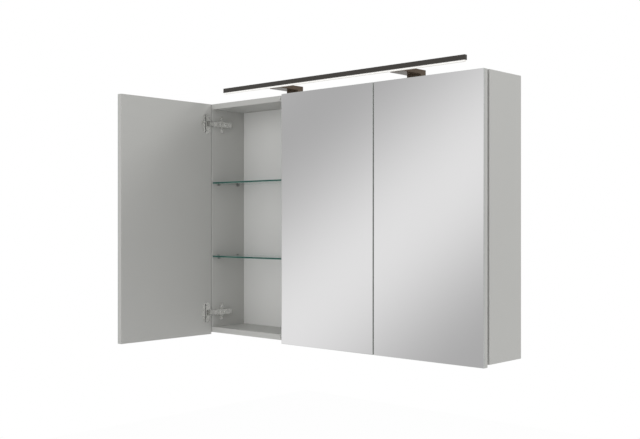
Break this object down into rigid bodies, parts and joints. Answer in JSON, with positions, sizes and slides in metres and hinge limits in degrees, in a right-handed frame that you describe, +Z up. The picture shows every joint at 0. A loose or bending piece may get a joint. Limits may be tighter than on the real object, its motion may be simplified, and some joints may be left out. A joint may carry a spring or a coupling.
{
  "type": "bathroom mirror cabinet",
  "caption": "Wall cabinet with hinged mirror doors, glass shelves on pins, and a slim lamp bar on arms above it; the doors swing out on cup hinges for storing toiletries.",
  "frame": {"origin": "midpoint between the two wall screws, on the wall plane", "axes": "+X to the right as seen from the room, +Y into the wall, +Z up"},
  "size_m": [1.0022, 0.4736, 0.7404],
  "materials": {
    "melamine": "light warm grey melamine, matte",
    "mirror": "silvered glass",
    "glass": "clear, polished edges",
    "nickel_steel": "nickel plated",
    "screw_steel": "zinc plated",
    "dark_chrome": "dark anodised, glossy",
    "diffuser": "opal",
    "circuit_board": "white solder mask",
    "rubber": "soft",
    "white_plastic": "fine texture",
    "dowel_wood": "beech, fluted"
  },
  "bodies": {
    "carcass": {"back_panel": "melamine", "bottom_panel": "melamine", "cable_grommet": "rubber", "carcass_dowels": "dowel_wood", "door_bumpers": "rubber", "hanger_plates": "nickel_steel", "hinge_arm_screws": "screw_steel", "hinge_plate_screws": "screw_steel", "lamp_arm_screws": "screw_steel", "lamp_diffuser": "diffuser", "lamp_end_caps": "dark_chrome", "lamp_housing": "dark_chrome", "led_board": "circuit_board", "led_driver": "white_plastic", "left_door_lower_hinge_arm": "nickel_steel", "left_door_lower_hinge_plate": "nickel_steel", "left_door_upper_hinge_arm": "nickel_steel", "left_door_upper_hinge_plate": "nickel_steel", "left_lamp_arm": "dark_chrome", "left_lower_shelf": "glass", "left_partition": "melamine", "left_side": "melamine", "left_upper_shelf": "glass", "middle_door_lower_hinge_arm": "nickel_steel", "middle_door_lower_hinge_plate": "nickel_steel", "middle_door_upper_hinge_arm": "nickel_steel", "middle_door_upper_hinge_plate": "nickel_steel", "middle_lower_shelf": "glass", "middle_upper_shelf": "glass", "right_door_lower_hinge_arm": "nickel_steel", "right_door_lower_hinge_plate": "nickel_steel", "right_door_upper_hinge_arm": "nickel_steel", "right_door_upper_hinge_plate": "nickel_steel", "right_lamp_arm": "dark_chrome", "right_lower_shelf": "glass", "right_partition": "melamine", "right_side": "melamine", "right_upper_shelf": "glass", "shelf_pins": "nickel_steel", "switch_box": "white_plastic", "switch_box_screws": "screw_steel", "switch_lid": "white_plastic", "top_panel": "melamine"},
    "left_door": {"left_door_board": "melamine", "left_door_cup_screws": "screw_steel", "left_door_hinge_cups": "nickel_steel", "left_door_hinge_pins": "screw_steel", "left_door_mirror": "mirror"},
    "middle_door": {"middle_door_board": "melamine", "middle_door_cup_screws": "screw_steel", "middle_door_hinge_cups": "nickel_steel", "middle_door_hinge_pins": "screw_steel", "middle_door_mirror": "mirror"},
    "right_door": {"right_door_board": "melamine", "right_door_cup_screws": "screw_steel", "right_door_hinge_cups": "nickel_steel", "right_door_hinge_pins": "screw_steel", "right_door_mirror": "mirror"},
    "switch_rocker": {"switch_rocker": "white_plastic"}
  },
  "joints": [
    {"name": "left_door_hinge", "type": "hinge", "parent": "carcass", "child": "left_door", "pos_m": [-0.49023, -0.152, 0], "axis": [0, 0, -1], "range_deg": [-90, 5]},
    {"name": "middle_door_hinge", "type": "hinge", "parent": "carcass", "child": "middle_door", "pos_m": [-0.15517, -0.1559, 0], "axis": [0, 0, -1], "range_deg": [0, 95]},
    {"name": "right_door_hinge", "type": "hinge", "parent": "carcass", "child": "right_door", "pos_m": [0.49023, -0.152, 0], "axis": [0, 0, 1], "range_deg": [0, 95]},
    {"name": "rocker_pivot", "type": "hinge", "parent": "carcass", "child": "switch_rocker", "pos_m": [0.28792, -0.099, 0.018], "axis": [1, 0, 0], "range_deg": [0, 16]}
  ]
}
